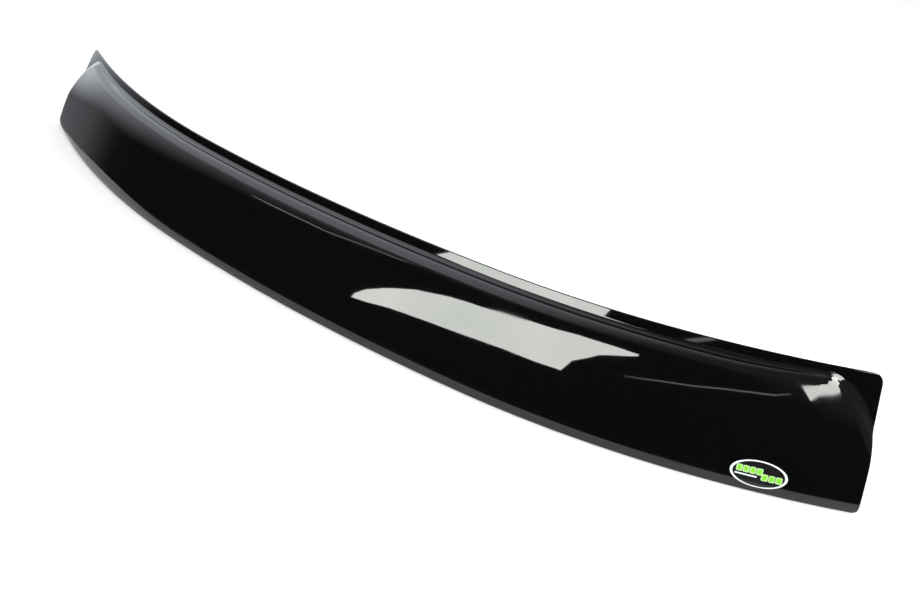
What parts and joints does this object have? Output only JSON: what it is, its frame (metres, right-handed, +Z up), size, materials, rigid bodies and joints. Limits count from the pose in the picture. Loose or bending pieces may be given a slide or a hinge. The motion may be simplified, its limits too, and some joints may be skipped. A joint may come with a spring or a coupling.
{
  "type": "rear window visor",
  "caption": "Long arched visor of gloss black plastic sheet with a rolled shoulder, a set-back fixing flange and a tucked lower lip, made to be stuck over a car's rear window.",
  "frame": {"origin": "middle of the lower edge, on its outer side, on the surface the visor stands on", "axes": "+X along the length, to the right as seen from the show side; -Y towards the show side; +Z up"},
  "size_m": [1.1678, 0.1711, 0.109],
  "materials": {
    "shell": "deep gloss black, thermoformed",
    "label": "printed vinyl with a satin face"
  },
  "bodies": {
    "root": {"visor_shell": "shell", "oval_label": "label"}
  },
  "joints": []
}
